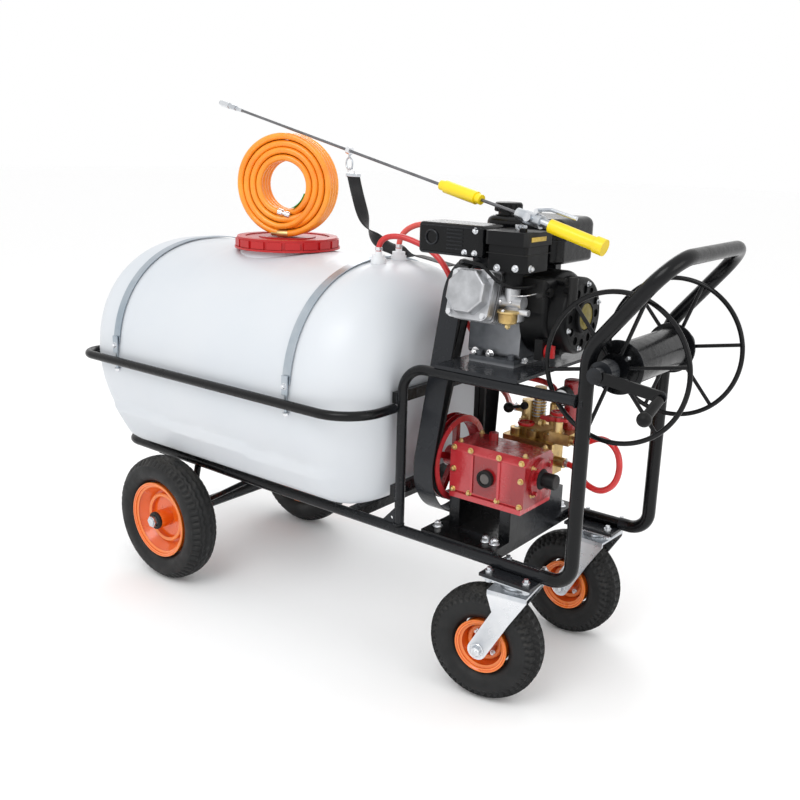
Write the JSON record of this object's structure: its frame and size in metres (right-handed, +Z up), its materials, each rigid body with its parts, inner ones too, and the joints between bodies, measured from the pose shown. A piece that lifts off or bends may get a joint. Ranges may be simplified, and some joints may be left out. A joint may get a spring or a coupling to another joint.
{
  "type": "wheeled sprayer cart",
  "caption": "Wheeled sprayer cart: plastic tank on a tube frame, engine over a plunger pump, hose reel, coiled hose and lance.",
  "frame": {"origin": "centre of the bounding box on the ground", "axes": "+X towards the push handle, +Y to the far side (a person pushing the cart has it on the left), +Z up"},
  "size_m": [1.6719, 0.712, 1.2768],
  "materials": {
    "belt_rubber": "ribbed belt",
    "black_hose": "black suction hose",
    "black_paint": "semi-gloss black paint",
    "black_plastic": "black moulded plastic",
    "brass": "dull brass",
    "cast_aluminium": "sand-cast aluminium",
    "orange_hose": "orange braided spray hose",
    "orange_paint": "gloss orange enamel",
    "red_hose": "red hose",
    "red_paint": "gloss red enamel",
    "red_plastic": "red moulded plastic",
    "steel": "machined steel",
    "tank_plastic": "translucent white moulded plastic",
    "tyre_rubber": "moulded tread",
    "webbing": "black webbing",
    "white_plastic": "white plastic",
    "yellow_plastic": "yellow moulded plastic",
    "zinc_steel": "bright zinc plate"
  },
  "bodies": {
    "cart": {"agitator_hose": "red_hose", "air_chamber": "red_paint", "air_cleaner": "black_plastic", "axle_frame": "black_paint", "belt_guard": "black_paint", "carburetor": "cast_aluminium", "caster_top_plates": "zinc_steel", "delivery_hose": "red_hose", "drive_belts": "belt_rubber", "engine_crankcase": "cast_aluminium", "engine_cylinder": "cast_aluminium", "front_axle": "zinc_steel", "fuel_tank": "black_paint", "guard_rail": "black_paint", "handle_frame": "black_paint", "lower_frame": "black_paint", "machine_plates": "black_paint", "muffler": "black_paint", "plug_cap": "black_plastic", "pump_crankcase": "red_paint", "pump_head": "brass", "pump_valves": "brass", "recoil_starter": "black_plastic", "return_hose": "red_hose", "rocker_cover": "cast_aluminium", "shelf_frame": "black_paint", "suction_hose": "black_hose", "tank_bottom": "tank_plastic", "tank_fittings": "white_plastic", "tank_front": "tank_plastic", "tank_left": "tank_plastic", "tank_rear": "tank_plastic", "tank_right": "tank_plastic", "tank_straps": "zinc_steel", "tank_top": "tank_plastic"},
    "front_wheel_left": {"front_tyre_left": "tyre_rubber", "front_rim_left": "orange_paint"},
    "front_wheel_right": {"front_tyre_right": "tyre_rubber", "front_rim_right": "orange_paint"},
    "caster_left": {"caster_fork_left": "zinc_steel"},
    "caster_right": {"caster_fork_right": "zinc_steel"},
    "caster_wheel_left": {"caster_tyre_left": "tyre_rubber", "caster_rim_left": "orange_paint"},
    "caster_wheel_right": {"caster_tyre_right": "tyre_rubber", "caster_rim_right": "orange_paint"},
    "lid": {"tank_lid": "red_plastic"},
    "coil": {"hose_coil": "orange_hose"},
    "lance": {"lance_tube": "steel", "lance_fittings": "zinc_steel", "lance_valve": "zinc_steel", "lance_grips": "yellow_plastic", "lance_strap": "webbing"},
    "trigger": {"lance_trigger": "zinc_steel"},
    "fuel_cap": {"fuel_cap": "black_plastic"},
    "starter": {"starter_grip": "black_plastic"},
    "throttle": {"throttle_lever": "black_plastic"},
    "switch": {"engine_switch": "red_plastic"},
    "engine_shaft": {"engine_pulley": "steel"},
    "pump_shaft": {"pump_pulley": "red_paint"},
    "regulator": {"regulator_lever": "black_plastic"},
    "front_tap": {"tap_lever_front": "red_plastic"},
    "rear_tap": {"tap_lever_rear": "red_plastic"},
    "reel": {"hose_reel": "black_paint", "reel_crank": "black_paint"},
    "crank_grip": {"crank_knob": "black_plastic"}
  },
  "joints": [
    {"name": "front_wheel_left_spin", "type": "hinge", "parent": "cart", "child": "front_wheel_left", "pos_m": [-0.5315, -0.272, 0.1715], "axis": [0, 1, 0], "continuous": true},
    {"name": "front_wheel_right_spin", "type": "hinge", "parent": "cart", "child": "front_wheel_right", "pos_m": [-0.5315, 0.272, 0.1715], "axis": [0, 1, 0], "continuous": true},
    {"name": "caster_left_swivel", "type": "hinge", "parent": "cart", "child": "caster_left", "pos_m": [0.5215, -0.187, 0.28], "axis": [0, 0, 1], "continuous": true},
    {"name": "caster_left_spin", "type": "hinge", "parent": "caster_left", "child": "caster_wheel_left", "pos_m": [0.46219, -0.19608, 0.13], "axis": [-0.1513, 0.9885, 0], "continuous": true},
    {"name": "caster_right_swivel", "type": "hinge", "parent": "cart", "child": "caster_right", "pos_m": [0.5215, 0.187, 0.28], "axis": [0, 0, 1], "continuous": true},
    {"name": "caster_right_spin", "type": "hinge", "parent": "caster_right", "child": "caster_wheel_right", "pos_m": [0.46154, 0.1892, 0.13], "axis": [0.0366, 0.9993, 0], "continuous": true},
    {"name": "lid_turn", "type": "hinge", "parent": "cart", "child": "lid", "pos_m": [-0.3365, 0, 0.92], "axis": [0, 0, 1], "range_deg": [0, 360]},
    {"name": "coil_slide", "type": "slide", "parent": "cart", "child": "coil", "axis": [0.3584, -0.9336, 0], "range_m": [0, 0.3]},
    {"name": "lance_lift", "type": "slide", "parent": "cart", "child": "lance", "axis": [0, 0, 1], "range_m": [0, 0.045]},
    {"name": "trigger_squeeze", "type": "hinge", "parent": "lance", "child": "trigger", "pos_m": [0.47033, -0.10431, 1.05321], "axis": [0, 1, 0], "range_deg": [0, 7], "stiffness_Nm_per_rad": 1},
    {"name": "fuel_cap_turn", "type": "hinge", "parent": "cart", "child": "fuel_cap", "pos_m": [0.342, -0.008, 1.05], "axis": [0, 0, 1], "range_deg": [0, 180]},
    {"name": "starter_pull", "type": "slide", "parent": "cart", "child": "starter", "axis": [0.8, -0.6, 0], "range_m": [0, 0.06], "stiffness_N_per_m": 60},
    {"name": "throttle_swing", "type": "hinge", "parent": "cart", "child": "throttle", "pos_m": [0.5, -0.084, 0.888], "axis": [1, 0, 0], "range_deg": [0, 35]},
    {"name": "switch_turn", "type": "hinge", "parent": "cart", "child": "switch", "pos_m": [0.5, -0.076, 0.764], "axis": [1, 0, 0], "range_deg": [0, 60]},
    {"name": "engine_shaft_spin", "type": "hinge", "parent": "cart", "child": "engine_shaft", "pos_m": [0.2625, 0, 0.834], "axis": [1, 0, 0], "continuous": true},
    {"name": "pump_shaft_spin", "type": "hinge", "parent": "cart", "child": "pump_shaft", "pos_m": [0.2625, -0.055, 0.473], "axis": [1, 0, 0], "continuous": true},
    {"name": "regulator_swing", "type": "hinge", "parent": "cart", "child": "regulator", "pos_m": [0.37, 0.0686, 0.592], "axis": [0, 1, 0], "range_deg": [0, 40]},
    {"name": "front_tap_turn", "type": "hinge", "parent": "cart", "child": "front_tap", "pos_m": [0.474, 0.042, 0.585], "axis": [0, 0, 1], "range_deg": [0, 90]},
    {"name": "rear_tap_turn", "type": "hinge", "parent": "cart", "child": "rear_tap", "pos_m": [0.438, 0.06, 0.576], "axis": [0, 1, 0], "range_deg": [0, 90]},
    {"name": "reel_spin", "type": "hinge", "parent": "cart", "child": "reel", "pos_m": [0.6825, 0, 0.769], "axis": [0, 1, 0], "continuous": true},
    {"name": "crank_grip_spin", "type": "hinge", "parent": "reel", "child": "crank_grip", "pos_m": [0.812, -0.221, 0.752], "axis": [0, -0.9292, -0.3697], "continuous": true}
  ],
  "couplings": [
    {"joint": "engine_shaft_spin", "follows": "pump_shaft_spin", "ratio": 2.5691}
  ]
}
